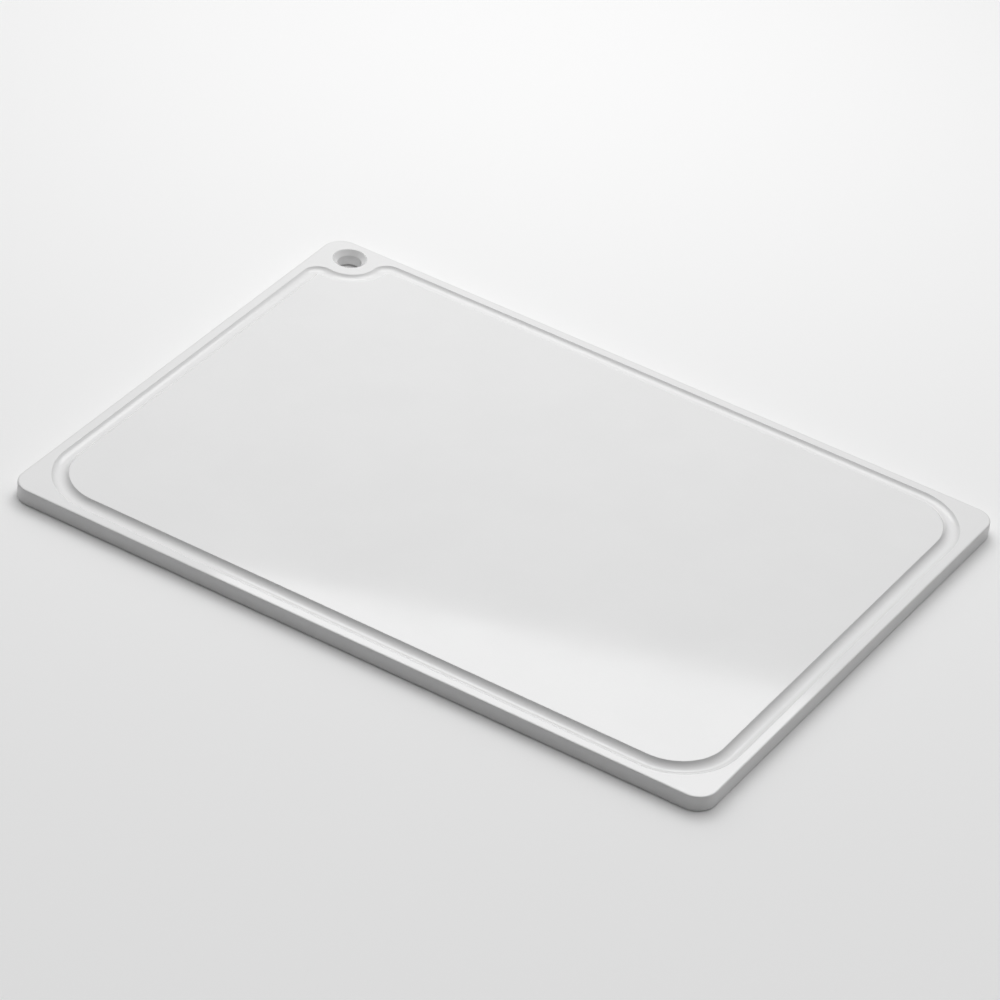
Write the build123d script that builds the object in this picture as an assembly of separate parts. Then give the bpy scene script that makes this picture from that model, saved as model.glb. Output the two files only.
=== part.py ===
from build123d import *

import os

# A one-piece plastic cutting board with a juice groove and a hanging hole.
# Millimetres. The underside lies on Z = 0 and the board is centred on the Z axis.
# +X runs along the long sides. The hanging hole is in the -X, +Y corner.

# Slab
LENGTH = 500.0
WIDTH = 365.0
RIM_HEIGHT = 10.8
CENTRE_HEIGHT = 12.0
CORNER_RADIUS = 14.0
EDGE_ROUNDING = 0.8

# Juice groove, a round-bottomed channel between the rim and the raised centre
GROOVE_INSET = 11.3
GROOVE_RADIUS = 7.0
GROOVE_DEPTH = 3.2
GROOVE_CORNER_RADIUS = 39.0
GROOVE_DETOUR_RADIUS = 24.3
GROOVE_TURN_RADIUS = 6.5
LIP_ROUNDING = 0.5

# Hanging hole, measured from the two outer edges that meet at its corner
HOLE_FROM_END = 22.0
HOLE_FROM_SIDE = 17.5
HOLE_RADIUS = 8.0
HOLE_TOP_CHAMFER = 3.0
HOLE_BOTTOM_CHAMFER = 1.0

# How far a cutting body runs past the face it opens
CLEARANCE = 0.5

HOLE_X = HOLE_FROM_END - LENGTH / 2
HOLE_Y = WIDTH / 2 - HOLE_FROM_SIDE


def board_outline():
    """The plan of the whole board."""
    return RectangleRounded(LENGTH, WIDTH, CORNER_RADIUS)


def hole_corner_distance(vertex):
    """How far a point in plan is from the corner with the hanging hole."""
    return Vector(vertex.X + LENGTH / 2, vertex.Y - WIDTH / 2, 0).length


def groove_plan():
    """The area inside the groove's centre line, which bows in around the hole."""
    area = Rectangle(LENGTH - 2 * GROOVE_INSET, WIDTH - 2 * GROOVE_INSET)
    corners = area.vertices().sort_by(hole_corner_distance)
    area = fillet(corners[1:], GROOVE_CORNER_RADIUS)
    area = area - Pos(HOLE_X, HOLE_Y) * Circle(GROOVE_DETOUR_RADIUS)
    turns = area.vertices().sort_by(hole_corner_distance)[:2]
    return fillet(turns, GROOVE_TURN_RADIUS)


def groove_profile(plane):
    """The groove's section: the lower part of a circle, open at the top."""
    centre_height = CENTRE_HEIGHT - GROOVE_DEPTH + GROOVE_RADIUS
    round_bottom = Pos(0, centre_height) * Circle(GROOVE_RADIUS)
    top = CENTRE_HEIGHT + CLEARANCE
    band = Pos(0, top / 2) * Rectangle(4 * GROOVE_RADIUS, top)
    return plane * (round_bottom & band)


def groove_channel(plan):
    """The body the groove takes out of the board."""
    path = plan.face().outer_wire()
    start = path @ 0
    along = path % 0
    plane = Plane(origin=start, x_dir=Vector(0, 0, 1).cross(along), z_dir=along)
    return sweep(groove_profile(plane), path=path)


def hanging_hole():
    """The through bore with its wide top chamfer and small bottom chamfer."""
    height = RIM_HEIGHT + 2 * CLEARANCE
    bore = Pos(0, 0, RIM_HEIGHT / 2) * Cylinder(HOLE_RADIUS, height)
    top_height = HOLE_TOP_CHAMFER + CLEARANCE
    top = Cone(HOLE_RADIUS, HOLE_RADIUS + top_height, top_height)
    top = Pos(0, 0, RIM_HEIGHT + CLEARANCE - top_height / 2) * top
    bottom_height = HOLE_BOTTOM_CHAMFER + CLEARANCE
    bottom = Cone(HOLE_RADIUS + bottom_height, HOLE_RADIUS, bottom_height)
    bottom = Pos(0, 0, bottom_height / 2 - CLEARANCE) * bottom
    return Pos(HOLE_X, HOLE_Y) * (bore + top + bottom)


def edges_at(body, height):
    """The edges that lie flat at a height."""
    return [
        edge
        for edge in body.edges()
        if abs(edge.bounding_box().min.Z - height) < 1e-3
        and abs(edge.bounding_box().max.Z - height) < 1e-3
    ]


def cutting_board():
    """The whole board."""
    plan = groove_plan()
    slab = extrude(board_outline(), RIM_HEIGHT)
    slab = fillet(edges_at(slab, 0) + edges_at(slab, RIM_HEIGHT), EDGE_ROUNDING)
    body = slab + extrude(plan, CENTRE_HEIGHT)
    body = body - groove_channel(plan)
    centre_lip = edges_at(body, CENTRE_HEIGHT)
    body = fillet(centre_lip, LIP_ROUNDING)
    rim_lip = [
        edge
        for edge in edges_at(body, RIM_HEIGHT)
        if abs(edge.center().X) < LENGTH / 2 - 3 and abs(edge.center().Y) < WIDTH / 2 - 3
    ]
    body = fillet(rim_lip, LIP_ROUNDING)
    return body - hanging_hole()


os.makedirs("parts", exist_ok=True)
export_step(cutting_board(), "parts/board.step")
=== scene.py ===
import math

import bpy
from mathutils import Matrix, Vector
from mathutils.geometry import delaunay_2d_cdt


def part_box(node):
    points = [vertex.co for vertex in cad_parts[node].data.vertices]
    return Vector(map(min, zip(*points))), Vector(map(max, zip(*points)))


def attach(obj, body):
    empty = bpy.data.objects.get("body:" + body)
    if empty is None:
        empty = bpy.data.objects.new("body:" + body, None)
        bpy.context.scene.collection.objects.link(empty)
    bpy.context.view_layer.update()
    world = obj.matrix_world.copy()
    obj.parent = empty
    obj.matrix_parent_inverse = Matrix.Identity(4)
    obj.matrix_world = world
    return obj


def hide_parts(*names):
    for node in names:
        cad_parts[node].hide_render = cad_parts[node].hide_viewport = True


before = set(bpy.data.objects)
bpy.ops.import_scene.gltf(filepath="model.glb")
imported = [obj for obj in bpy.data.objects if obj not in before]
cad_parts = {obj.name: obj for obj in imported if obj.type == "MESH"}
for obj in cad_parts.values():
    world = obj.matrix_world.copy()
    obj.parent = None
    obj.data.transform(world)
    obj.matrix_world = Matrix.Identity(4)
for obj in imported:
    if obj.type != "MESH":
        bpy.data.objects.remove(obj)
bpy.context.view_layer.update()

# ---------------------------------------------------------------------------
# Dimensions, in millimetres as in the CAD part; the mesh is scaled to metres
# ---------------------------------------------------------------------------
MM = 0.001
LOW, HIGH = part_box("board")
LENGTH = (HIGH[0] - LOW[0]) / MM
WIDTH = (HIGH[1] - LOW[1]) / MM
CENTRE_HEIGHT = (HIGH[2] - LOW[2]) / MM
RIM_DROP = 1.2
RIM_HEIGHT = CENTRE_HEIGHT - RIM_DROP
CORNER_RADIUS = 14.0
EDGE_ROUNDING = 0.8

GROOVE_INSET = 11.3
GROOVE_RADIUS = 7.0
GROOVE_DEPTH = 3.2
GROOVE_CORNER_RADIUS = 39.0
GROOVE_DETOUR_RADIUS = 24.3
GROOVE_TURN_RADIUS = 6.5
LIP_ROUNDING = 0.5

HOLE_FROM_SIDE, HOLE_FROM_BACK = 22.0, 17.5
HOLE_X = LOW[0] / MM + HOLE_FROM_SIDE
HOLE_Y = HIGH[1] / MM - HOLE_FROM_BACK
HOLE_RADIUS = 8.0
HOLE_TOP_CHAMFER = 3.0
HOLE_BOTTOM_CHAMFER = 1.0
HOLE_EDGE_ROUNDING = 0.35

# Width of the narrow flat ring beside each rounding, which keeps the big flats flat-shaded
SUPPORT = 0.3
HOLE_SUPPORT = 0.36

# A straight stretch of a section longer than this gets support points inside its ends
LONG_STRETCH = 3 * SUPPORT

# How many steps each curve is divided into
LONG_RUN_STEPS = 24
OUTLINE_SHORT_RUN_STEPS = 18
GROOVE_SHORT_RUN_STEPS = 16
OUTLINE_CORNER_STEPS = 20
GROOVE_CORNER_STEPS = 32
GROOVE_TURN_STEPS = 18
GROOVE_BOTTOM_STEPS = 28
LIP_STEPS = 6
EDGE_STEPS = 7
HOLE_STEPS = 96
HOLE_EDGE_STEPS = 5

# Points inside the big flats: their spacing, how many spacings they keep from every edge,
# and how near two points have to be to count as one
FLAT_SPACING = 20.0
FLAT_CLEARANCE = 0.6
SAME_POINT = 1e-6

# Plastic
FACE_ALBEDO = 0.80
# The sides' colour is darker than the faces': partly the greyer look of milled plastic, partly painted
# shade for the sides facing away from the light
SIDE_ALBEDO_WITH_PAINTED_SHADE = 0.70
REFRACTIVE_INDEX = 1.5
FACE_ROUGHNESS = (0.055, 0.080)
GROOVE_ROUGHNESS = (0.09, 0.13)
SIDE_ROUGHNESS = (0.29, 0.37)

# Noises: scale in cells per metre, then detail and roughness
CLOUDS = (22.0, 4.0, 0.55)
GRAIN = (900.0, 2.0, 0.6)
FACE_HAZE = (14.0, 4.0, 0.6)
WAVES = (26.0, 1.0, 0.4)
PEBBLE = (700.0, 2.0, 0.5)
SCUFF_LINES = (90.0, 5.0, 0.75)
MILLED_HAZE = (60.0, 3.0, 0.6)
MILLED_TEXTURE = (500.0, 3.0, 0.6)
CUT_WOBBLE = (120.0, 2.0, 0.5)
WEAR_PATCHES = (150.0, 4.0, 0.65)

# The middle of a noise's values, where most of them lie
NOISE_LOW, NOISE_HIGH = 0.3, 0.7

# How much the clouds and the grain change the colour, and the heights of the bumps in metres
CLOUD_STRENGTH, GRAIN_STRENGTH = 0.006, 0.003
WAVE_HEIGHT, PEBBLE_HEIGHT = 0.000025, 0.0000012
MILLED_HEIGHT = 0.000006

# Scuffs: for each direction its angle in degrees, how drawn out the scuffs are, and how rare
SCUFFS = ((17, 9, 0.70), (-38, 12, 0.71), (74, 7, 0.72))
SCUFF_FADE = 0.05
SCUFF_DEPTH = 0.0000015
SCUFF_ROUGHNESS = 0.08

# Cutter marks: how far apart they are and how deep, in metres
GROOVE_CUTS = (0.0006, 0.0000008)
SIDE_CUTS = (0.0013, 0.0000015)

# Wear along the side's top edge: the depths below the rim where it is full and where it ends,
# in metres, the noise values where a patch starts and is full, and what it does to the finish
WEAR_NEAR, WEAR_FAR = 0.0003, 0.0012
WEAR_START, WEAR_FULL = 0.46, 0.62
WEAR_ROUGHNESS, WEAR_SMOOTHING = 0.15, 0.4

# The room's soft glows: azimuth and elevation in degrees, how tightly each is gathered, and its radiance
GLOWS = ((-30.0, 60.0, 4.0, 1.46), (60.0, 60.0, 4.0, 0.51), (-60.0, 35.0, 2.0, 0.50))

# The panel, in metres in a frame turned about Z: along it from start to end, and back from front to rear
PANEL_TURN = 18.68
PANEL_START, PANEL_END = -0.40, 0.15
PANEL_FRONT, PANEL_REAR = 0.30, 0.913
PANEL_HEIGHT = 0.8
PANEL_LIGHT = 7.1

# The floor, in metres
FLOOR_HALF_WIDTH = 6.0
FLOOR_GAP = 0.0002
FLOOR_ALBEDO = 0.92
FLOOR_ROUGHNESS = 0.9

# The photograph's view: angles in degrees, then metres. The focal length is in sensor widths
CAMERA_AZIMUTH, CAMERA_ELEVATION, CAMERA_ROLL = 28.53, 35.34, 6.38
CAMERA_DISTANCE, CAMERA_ACROSS, CAMERA_ABOVE = 3.28595, -0.00426, 0.00863
CAMERA_NEAR, CAMERA_FAR = 0.1, 50.0
SENSOR_WIDTH = 36.0
FOCAL_LENGTH = 5.27912

# Material slots of the board's mesh
FACE_FINISH, GROOVE_FINISH, SIDE_FINISH = 0, 1, 2


# ---------------------------------------------------------------------------
# Plan curves: closed lists of (point, outward normal)
# ---------------------------------------------------------------------------
def arc(centre, radius, start, end, steps, outward=1.0):
    """Points on an arc, its last one left out. outward is -1 where the board lies outside it."""
    made = []
    for step in range(steps):
        angle = math.radians(start + (end - start) * step / steps)
        normal = Vector((math.cos(angle), math.sin(angle)))
        made.append((Vector(centre) + normal * radius, normal * outward))
    return made


def run(start, end, normal, steps):
    """Points along a straight run, its last one left out."""
    start, end = Vector(start), Vector(end)
    return [(start.lerp(end, step / steps), Vector(normal)) for step in range(steps)]


def outline():
    """The board's outline, anticlockwise."""
    x, y, r = LENGTH / 2, WIDTH / 2, CORNER_RADIUS
    made = run((-x + r, -y), (x - r, -y), (0, -1), LONG_RUN_STEPS)
    made += arc((x - r, -y + r), r, 270, 360, OUTLINE_CORNER_STEPS)
    made += run((x, -y + r), (x, y - r), (1, 0), OUTLINE_SHORT_RUN_STEPS)
    made += arc((x - r, y - r), r, 0, 90, OUTLINE_CORNER_STEPS)
    made += run((x - r, y), (-x + r, y), (0, 1), LONG_RUN_STEPS)
    made += arc((-x + r, y - r), r, 90, 180, OUTLINE_CORNER_STEPS)
    made += run((-x, y - r), (-x, -y + r), (-1, 0), OUTLINE_SHORT_RUN_STEPS)
    made += arc((-x + r, -y + r), r, 180, 270, OUTLINE_CORNER_STEPS)
    return made


def groove_line():
    """The groove's centre line, anticlockwise, bowing in round the hole."""
    x, y = LENGTH / 2 - GROOVE_INSET, WIDTH / 2 - GROOVE_INSET
    r, turn = GROOVE_CORNER_RADIUS, GROOVE_TURN_RADIUS
    hole = Vector((HOLE_X, HOLE_Y))
    reach = GROOVE_DETOUR_RADIUS + turn
    side_turn = Vector((-x + turn, 0))
    side_turn.y = hole.y - math.sqrt(reach**2 - (side_turn.x - hole.x) ** 2)
    back_turn = Vector((0, y - turn))
    back_turn.x = hole.x + math.sqrt(reach**2 - (back_turn.y - hole.y) ** 2)
    leave = math.degrees(math.atan2(*(hole - back_turn).yx))
    around = math.degrees(math.atan2(*(back_turn - hole).yx))
    behind = math.degrees(math.atan2(*(side_turn - hole).yx))
    join = math.degrees(math.atan2(*(hole - side_turn).yx))
    made = run((-x + r, -y), (x - r, -y), (0, -1), LONG_RUN_STEPS)
    made += arc((x - r, -y + r), r, 270, 360, GROOVE_CORNER_STEPS)
    made += run((x, -y + r), (x, y - r), (1, 0), GROOVE_SHORT_RUN_STEPS)
    made += arc((x - r, y - r), r, 0, 90, GROOVE_CORNER_STEPS)
    made += run((x - r, y), (back_turn.x, y), (0, 1), LONG_RUN_STEPS)
    made += arc(back_turn, turn, 90, leave, GROOVE_TURN_STEPS)
    made += arc(hole, GROOVE_DETOUR_RADIUS, around, behind, GROOVE_CORNER_STEPS, -1.0)
    made += arc(side_turn, turn, join, 180, GROOVE_TURN_STEPS)
    made += run((-x, side_turn.y), (-x, -y + r), (-1, 0), GROOVE_SHORT_RUN_STEPS)
    made += arc((-x + r, -y + r), r, 180, 270, GROOVE_CORNER_STEPS)
    return made


# ---------------------------------------------------------------------------
# Sections: lists of (offset outward from the plan curve, height)
# ---------------------------------------------------------------------------
def rounded(points, radii, steps):
    """A polyline's points with each inner corner rounded."""
    made = [points[0]]
    for before, corner, after, radius in zip(points, points[1:], points[2:], radii):
        a = (Vector(before) - Vector(corner)).normalized()
        b = (Vector(after) - Vector(corner)).normalized()
        half = a.angle(b) / 2
        reach = radius / math.tan(half)
        centre = Vector(corner) + (a + b).normalized() * radius / math.sin(half)
        first = Vector(corner) + a * reach - centre
        last = Vector(corner) + b * reach - centre
        sweep = first.angle_signed(last)
        for step in range(steps + 1):
            turned = Matrix.Rotation(-sweep * step / steps, 2) @ first
            made.append(tuple(centre + turned))
    made.append(points[-1])
    return made


def supported(points):
    """A section with extra points just inside the ends of its long straight stretches.

    The section's own first and last points get none.
    """
    made = [points[0]]
    for a, b in zip(points, points[1:]):
        length = math.dist(a, b)
        if length > LONG_STRETCH:
            way = (Vector(b) - Vector(a)) / length
            if a != points[0]:
                made.append(tuple(Vector(a) + way * SUPPORT))
            if b != points[-1]:
                made.append(tuple(Vector(b) - way * SUPPORT))
        made.append(b)
    return made


def side_section():
    """From the underside, round the bottom edge, up the side and on to the rim."""
    inset = EDGE_ROUNDING + SUPPORT
    corners = [(-inset, 0), (0, 0), (0, RIM_HEIGHT), (-inset, RIM_HEIGHT)]
    return supported(rounded(corners, [EDGE_ROUNDING] * 2, EDGE_STEPS))


def groove_section():
    """From the raised centre, down through the groove and up to the rim."""
    middle = CENTRE_HEIGHT - GROOVE_DEPTH + GROOVE_RADIUS
    reach = GROOVE_RADIUS + LIP_ROUNDING

    def lip(top, side):
        height = top - LIP_ROUNDING
        return Vector((side * math.sqrt(reach**2 - (middle - height) ** 2), height))

    inner, outer = lip(CENTRE_HEIGHT, -1), lip(RIM_HEIGHT, 1)
    inner_slope = math.atan2(-inner.x, middle - inner.y)
    outer_slope = math.atan2(outer.x, middle - outer.y)
    made = [(inner.x - SUPPORT, CENTRE_HEIGHT)]
    for step in range(LIP_STEPS + 1):
        angle = inner_slope * step / LIP_STEPS
        made.append(tuple(inner + LIP_ROUNDING * Vector((math.sin(angle), math.cos(angle)))))
    for step in range(1, GROOVE_BOTTOM_STEPS):
        angle = -inner_slope + (inner_slope + outer_slope) * step / GROOVE_BOTTOM_STEPS
        made.append((GROOVE_RADIUS * math.sin(angle), middle - GROOVE_RADIUS * math.cos(angle)))
    for step in range(LIP_STEPS, -1, -1):
        angle = -outer_slope * step / LIP_STEPS
        made.append(tuple(outer + LIP_ROUNDING * Vector((math.sin(angle), math.cos(angle)))))
    made.append((outer.x + SUPPORT, RIM_HEIGHT))
    return made


def hole_section():
    """From the rim, down the chamfer and the bore, to the underside."""
    top = HOLE_RADIUS + HOLE_TOP_CHAMFER
    bottom = HOLE_RADIUS + HOLE_BOTTOM_CHAMFER
    corners = [
        (top + HOLE_SUPPORT, RIM_HEIGHT),
        (top, RIM_HEIGHT),
        (HOLE_RADIUS, RIM_HEIGHT - HOLE_TOP_CHAMFER),
        (HOLE_RADIUS, HOLE_BOTTOM_CHAMFER),
        (bottom, 0),
        (bottom + HOLE_SUPPORT, 0),
    ]
    return supported(rounded(corners, [HOLE_EDGE_ROUNDING] * 4, HOLE_EDGE_STEPS))


# ---------------------------------------------------------------------------
# Mesh
# ---------------------------------------------------------------------------
class Skin:
    """Vertices and faces of the board, gathered ring by ring, with the finish each face has."""

    def __init__(self):
        self.points = []
        self.travel = []
        self.faces = []
        self.finishes = []

    def ring(self, curve, offset, height):
        """One closed ring of points, each with how far along the curve it lies."""
        first = len(self.points)
        distance, last = 0.0, curve[0][0]
        for point, normal in curve:
            distance += (point - last).length
            last = point
            x, y = point + normal * offset
            self.points.append((x, y, height))
            self.travel.append(distance)
        return list(range(first, len(self.points)))

    def wrap(self, curve, section, outside_up, finish):
        """Quads along a section, and the section's first and last rings."""
        rings = [self.ring(curve, offset, height) for offset, height in section]
        count = len(curve)
        for low, high in zip(rings, rings[1:]):
            for i in range(count):
                j = (i + 1) % count
                face = (low[i], low[j], high[j], high[i])
                self.faces.append(face if outside_up else face[::-1])
                self.finishes.append(finish)
        return rings[0], rings[-1]

    def cap(self, border, holes, height, up, spacing):
        """A flat, triangulated face between rings that are there already.

        With a spacing, it has evenly spaced points inside too.
        """
        rings = [border] + holes
        known = [i for ring in rings for i in ring]
        edges, start = [], 0
        for ring in rings:
            count = len(ring)
            edges += [(start + k, start + (k + 1) % count) for k in range(count)]
            start += count
        polygons = [[Vector(self.points[i][:2]) for i in ring] for ring in rings]
        inner = grid_inside(polygons, spacing)
        flat = [Vector(self.points[i][:2]) for i in known] + inner
        known += list(range(len(self.points), len(self.points) + len(inner)))
        self.points += [(p.x, p.y, height) for p in inner]
        self.travel += [0.0] * len(inner)
        corners, _, triangles, sources = delaunay_2d_cdt(flat, edges, [], 0, SAME_POINT)[:4]
        for triangle in triangles:
            middle = sum((corners[k] for k in triangle), Vector((0, 0))) / 3
            if in_area(middle, polygons):
                face = tuple(known[sources[k][0]] for k in triangle)
                self.faces.append(face if up else face[::-1])
                self.finishes.append(FACE_FINISH)


def contains(polygon, point):
    """Whether a point is inside a closed polygon."""
    inside = False
    for a, b in zip(polygon, polygon[1:] + polygon[:1]):
        if (a.y > point.y) != (b.y > point.y):
            if point.x < a.x + (point.y - a.y) / (b.y - a.y) * (b.x - a.x):
                inside = not inside
    return inside


def in_area(point, polygons):
    """Whether a point is inside the first polygon and outside the others."""
    return contains(polygons[0], point) and not any(contains(p, point) for p in polygons[1:])


def grid_inside(polygons, spacing):
    """Evenly spaced points well inside an area, or none without a spacing."""
    if not spacing:
        return []
    made = []
    columns, rows = int(LENGTH / spacing) + 1, int(WIDTH / spacing) + 1
    for i in range(-columns // 2, columns // 2 + 1):
        for j in range(-rows // 2, rows // 2 + 1):
            point = Vector((i * spacing, j * spacing))
            near = min((point - q).length for ring in polygons for q in ring)
            if near > spacing * FLAT_CLEARANCE and in_area(point, polygons):
                made.append(point)
    return made


def make_board():
    """The whole board as one closed, smooth-shaded mesh."""
    skin = Skin()
    edge, groove = outline(), groove_line()
    hole = arc((HOLE_X, HOLE_Y), 0.0, 0, 360, HOLE_STEPS)
    foot, rim = skin.wrap(edge, side_section(), True, SIDE_FINISH)
    centre, bank = skin.wrap(groove, groove_section(), False, GROOVE_FINISH)
    hole_top, hole_foot = skin.wrap(hole, hole_section(), False, GROOVE_FINISH)
    skin.cap(centre, [], CENTRE_HEIGHT, True, FLAT_SPACING)
    skin.cap(rim, [bank, hole_top], RIM_HEIGHT, True, None)
    skin.cap(foot, [hole_foot], 0.0, False, FLAT_SPACING)
    mesh = bpy.data.meshes.new("board_slab")
    points = [Vector(p) * MM + Vector((0, 0, LOW[2])) for p in skin.points]
    mesh.from_pydata(points, [], skin.faces)
    mesh.polygons.foreach_set("use_smooth", [True] * len(skin.faces))
    mesh.polygons.foreach_set("material_index", skin.finishes)
    travel = mesh.attributes.new("travel", "FLOAT", "POINT")
    travel.data.foreach_set("value", [t * MM for t in skin.travel])
    mesh.update()
    board = bpy.data.objects.new("board_slab", mesh)
    bpy.context.scene.collection.objects.link(board)
    return board


# ---------------------------------------------------------------------------
# Materials
# ---------------------------------------------------------------------------
class Tree:
    """Short names for the node wiring that every material needs."""

    def __init__(self, material):
        material.use_nodes = True
        self.nodes = material.node_tree.nodes
        self.links = material.node_tree.links
        self.shader = self.nodes["Principled BSDF"]

    def add(self, kind, output, inputs, **settings):
        """A node with its inputs set or linked; returns one of its outputs."""
        node = self.nodes.new(kind)
        for name, value in settings.items():
            setattr(node, name, value)
        for name, value in inputs.items():
            self.feed(node.inputs[name], value)
        return node.outputs[output]

    def feed(self, socket, value):
        """Link a socket to an output, or set it to a constant."""
        if isinstance(value, bpy.types.NodeSocket):
            self.links.new(value, socket)
        else:
            socket.default_value = value

    def noise(self, vector, scale, detail, roughness):
        """A soft noise, from 0 to 1."""
        inputs = {"Vector": vector, "Scale": scale, "Detail": detail, "Roughness": roughness}
        return self.add("ShaderNodeTexNoise", "Fac", inputs)

    def spread(self, value, low, high, to_low, to_high):
        """A value from one range to another, eased and clamped."""
        inputs = {"Value": value, "From Min": low, "From Max": high, "To Min": to_low, "To Max": to_high}
        return self.add("ShaderNodeMapRange", "Result", inputs, interpolation_type="SMOOTHSTEP")

    def vary(self, noise, centre, strength):
        """A noise's usual values, eased to lie within a strength of a centre."""
        return self.spread(noise, NOISE_LOW, NOISE_HIGH, centre - strength, centre + strength)

    def math(self, operation, a, b):
        """One arithmetic step on one or two values."""
        return self.add("ShaderNodeMath", "Value", {0: a, 1: b}, operation=operation)

    def plus(self, base, amount, factor):
        """base + amount * factor."""
        inputs = {0: amount, 1: factor, 2: base}
        return self.add("ShaderNodeMath", "Value", inputs, operation="MULTIPLY_ADD")

    def place(self, vector, turn, scale):
        """Coordinates turned about Z, in degrees, and scaled."""
        inputs = {"Vector": vector, "Rotation": (0, 0, math.radians(turn)), "Scale": scale}
        return self.add("ShaderNodeMapping", "Vector", inputs)

    def bump(self, height, distance, normal=None):
        """A normal bumped by a height, on top of another one if given."""
        inputs = {"Height": height, "Distance": distance, "Strength": 1.0}
        if normal:
            inputs["Normal"] = normal
        return self.add("ShaderNodeBump", "Normal", inputs)


def white_plastic(name, albedo_and_painted_shade):
    """White plastic with faint clouding in its colour: the material, its tree and its coordinates."""
    material = bpy.data.materials.new(name)
    tree = Tree(material)
    place = tree.add("ShaderNodeTexCoord", "Object", {})
    # The tone given is the plastic's colour; for the sides it is also darkened as painted shade
    clouds = tree.vary(tree.noise(place, *CLOUDS), albedo_and_painted_shade, CLOUD_STRENGTH)
    grain = tree.vary(tree.noise(place, *GRAIN), 0.0, GRAIN_STRENGTH)
    tone = tree.math("ADD", clouds, grain)
    colour = tree.add("ShaderNodeCombineColor", "Color", {"Red": tone, "Green": tone, "Blue": tone})
    tree.feed(tree.shader.inputs["Base Color"], colour)
    tree.feed(tree.shader.inputs["IOR"], REFRACTIVE_INDEX)
    return material, tree, place


def scuffs(tree, place):
    """Sparse hairline scuffs, from 0 to 1, in three directions."""
    total = None
    for turn, stretch, rarity in SCUFFS:
        along = tree.place(place, turn, (1.0, stretch, 1.0))
        lines = tree.spread(tree.noise(along, *SCUFF_LINES), rarity, rarity + SCUFF_FADE, 0.0, 1.0)
        total = lines if total is None else tree.math("MAXIMUM", total, lines)
    return total


def face_finish():
    """The pressed faces: glossy, very slightly wavy, with hairline scuffs."""
    material, tree, place = white_plastic("plastic_pressed", FACE_ALBEDO)
    marks = scuffs(tree, place)
    haze = tree.spread(tree.noise(place, *FACE_HAZE), NOISE_LOW, NOISE_HIGH, *FACE_ROUGHNESS)
    tree.feed(tree.shader.inputs["Roughness"], tree.plus(haze, marks, SCUFF_ROUGHNESS))
    waves = tree.bump(tree.noise(place, *WAVES), WAVE_HEIGHT)
    pebble = tree.bump(tree.noise(place, *PEBBLE), PEBBLE_HEIGHT, waves)
    tree.feed(tree.shader.inputs["Normal"], tree.bump(marks, -SCUFF_DEPTH, pebble))
    return material


def edge_wear(tree, place):
    """Patches rubbed dull along the top edge of the side, from 0 to 1."""
    height = tree.add("ShaderNodeSeparateXYZ", "Z", {"Vector": place})
    rim = LOW[2] + RIM_HEIGHT * MM
    band = tree.spread(height, rim - WEAR_FAR, rim - WEAR_NEAR, 0.0, 1.0)
    patches = tree.spread(tree.noise(place, *WEAR_PATCHES), WEAR_START, WEAR_FULL, 0.0, 1.0)
    return tree.math("MULTIPLY", band, patches)


def milled_finish(name, albedo_and_painted_shade, roughness, cuts, worn):
    """A milled surface: duller than the faces, with fine cutter marks across the cutter's path."""
    material, tree, place = white_plastic(name, albedo_and_painted_shade)
    spacing, depth = cuts
    haze = tree.spread(tree.noise(place, *MILLED_HAZE), NOISE_LOW, NOISE_HIGH, *roughness)
    texture = tree.noise(place, *MILLED_TEXTURE)
    if worn:
        wear = edge_wear(tree, place)
        haze = tree.plus(haze, wear, WEAR_ROUGHNESS)
        texture = tree.plus(texture, wear, -WEAR_SMOOTHING)
    tree.feed(tree.shader.inputs["Roughness"], haze)
    travel = tree.add("ShaderNodeAttribute", "Fac", {}, attribute_name="travel")
    wobble = tree.math("MULTIPLY", tree.noise(place, *CUT_WOBBLE), spacing)
    phase = tree.math("MULTIPLY", tree.math("ADD", travel, wobble), math.tau / spacing)
    marks = tree.bump(tree.math("SINE", phase, 0.0), depth)
    tree.feed(tree.shader.inputs["Normal"], tree.bump(texture, MILLED_HEIGHT, marks))
    return material


# ---------------------------------------------------------------------------
# Stage, lights and camera
# ---------------------------------------------------------------------------
def make_floor():
    """A plain pale floor."""
    mesh = bpy.data.meshes.new("floor")
    half = FLOOR_HALF_WIDTH
    corners = [(-half, -half, 0), (half, -half, 0), (half, half, 0), (-half, half, 0)]
    mesh.from_pydata(corners, [], [(0, 1, 2, 3)])
    floor = bpy.data.objects.new("floor", mesh)
    bpy.context.scene.collection.objects.link(floor)
    floor.location.z = LOW[2] - FLOOR_GAP
    material = bpy.data.materials.new("floor_pale")
    material.use_nodes = True
    shader = material.node_tree.nodes["Principled BSDF"]
    shader.inputs["Base Color"].default_value = (FLOOR_ALBEDO, FLOOR_ALBEDO, FLOOR_ALBEDO, 1)
    shader.inputs["Roughness"].default_value = FLOOR_ROUGHNESS
    mesh.materials.append(material)


def toward(azimuth, elevation):
    """The unit vector toward a part of the room. Azimuth 0 is +Y and 90 is +X."""
    a, e = math.radians(azimuth), math.radians(elevation)
    return Vector((math.sin(a) * math.cos(e), math.cos(a) * math.cos(e), math.sin(e)))


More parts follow.
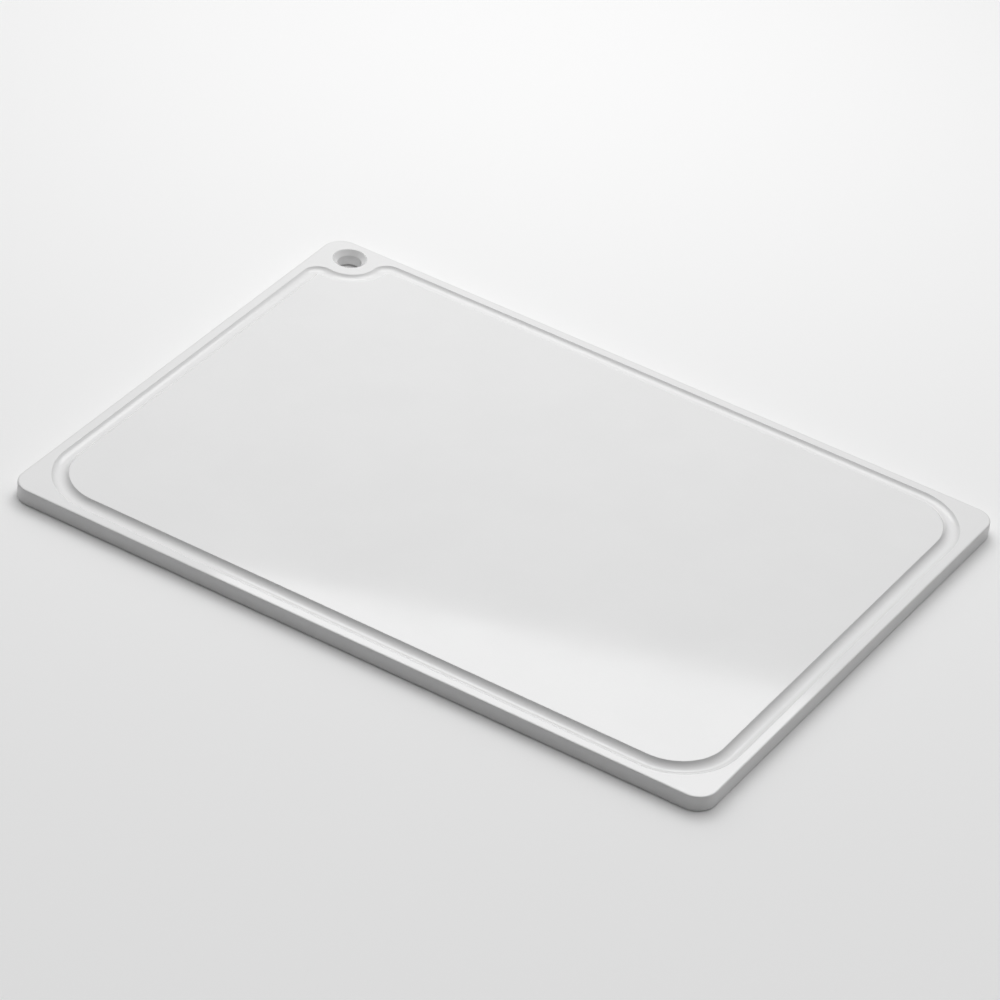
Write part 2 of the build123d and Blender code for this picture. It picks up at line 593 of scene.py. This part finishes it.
def make_room():
    """A room lit by a few broad, soft glows, like big lit walls and a lit ceiling."""
    world = bpy.data.worlds.new("studio")
    bpy.context.scene.world = world
    world.use_nodes = True
    nodes, links = world.node_tree.nodes, world.node_tree.links
    backdrop = nodes["Background"]
    backdrop.inputs["Color"].default_value = (1, 1, 1, 1)
    direction = nodes.new("ShaderNodeTexCoord")
    total = None
    for azimuth, elevation, focus, radiance in GLOWS:
        facing = nodes.new("ShaderNodeVectorMath")
        facing.operation = "DOT_PRODUCT"
        facing.inputs[1].default_value = toward(azimuth, elevation)
        links.new(direction.outputs["Generated"], facing.inputs[0])
        ahead = nodes.new("ShaderNodeMath")
        ahead.operation = "MAXIMUM"
        links.new(facing.outputs["Value"], ahead.inputs[0])
        ahead.inputs[1].default_value = 0.0
        lobe = nodes.new("ShaderNodeMath")
        lobe.operation = "POWER"
        links.new(ahead.outputs[0], lobe.inputs[0])
        lobe.inputs[1].default_value = focus
        glow = nodes.new("ShaderNodeMath")
        glow.operation = "MULTIPLY_ADD"
        links.new(lobe.outputs[0], glow.inputs[0])
        glow.inputs[1].default_value = radiance
        glow.inputs[2].default_value = 0.0
        if total:
            links.new(total, glow.inputs[2])
        total = glow.outputs[0]
    links.new(total, backdrop.inputs["Strength"])


def make_panel():
    """A soft, level rectangular panel above and behind the board; its rear edge shows in the gloss."""
    light = bpy.data.lights.new("panel", "AREA")
    light.shape = "RECTANGLE"
    light.size, light.size_y = PANEL_END - PANEL_START, PANEL_REAR - PANEL_FRONT
    light.energy = PANEL_LIGHT * light.size * light.size_y
    panel = bpy.data.objects.new("panel", light)
    bpy.context.scene.collection.objects.link(panel)
    turn = Matrix.Rotation(math.radians(PANEL_TURN), 4, "Z")
    middle = Vector(((PANEL_START + PANEL_END) / 2, (PANEL_FRONT + PANEL_REAR) / 2, PANEL_HEIGHT))
    panel.matrix_world = turn @ Matrix.Translation(middle)


def make_camera():
    """The photograph's view: a long lens, a little rolled."""
    azimuth, elevation, roll = (
        math.radians(angle) for angle in (CAMERA_AZIMUTH, CAMERA_ELEVATION, CAMERA_ROLL)
    )
    level = Vector((math.sin(azimuth), -math.cos(azimuth), 0))
    back = level * math.cos(elevation) + Vector((0, 0, math.sin(elevation)))
    right = Vector((math.cos(azimuth), math.sin(azimuth), 0))
    up = back.cross(right)
    x_axis = math.cos(roll) * right + math.sin(roll) * up
    y_axis = -math.sin(roll) * right + math.cos(roll) * up
    camera_data = bpy.data.cameras.new("camera")
    camera_data.sensor_width = SENSOR_WIDTH
    camera_data.lens = FOCAL_LENGTH * SENSOR_WIDTH
    camera_data.clip_start, camera_data.clip_end = CAMERA_NEAR, CAMERA_FAR
    camera = bpy.data.objects.new("camera", camera_data)
    bpy.context.scene.collection.objects.link(camera)
    turn = Matrix((x_axis, y_axis, back)).transposed().to_4x4()
    place = x_axis * CAMERA_ACROSS + y_axis * CAMERA_ABOVE + back * CAMERA_DISTANCE
    camera.matrix_world = Matrix.Translation(place) @ turn
    bpy.context.scene.camera = camera


scene = bpy.context.scene
scene.view_settings.view_transform = "Standard"
scene.view_settings.look = "None"

board = make_board()
face = face_finish()
groove = milled_finish("plastic_groove", FACE_ALBEDO, GROOVE_ROUGHNESS, GROOVE_CUTS, False)
# The sides get a darker colour: partly milled plastic's greyer look, partly painted shade
side = milled_finish("plastic_side", SIDE_ALBEDO_WITH_PAINTED_SHADE, SIDE_ROUGHNESS, SIDE_CUTS, True)
for finish in (face, groove, side):
    board.data.materials.append(finish)
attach(board, "root")
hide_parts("board")

make_floor()
make_room()
make_panel()
make_camera()
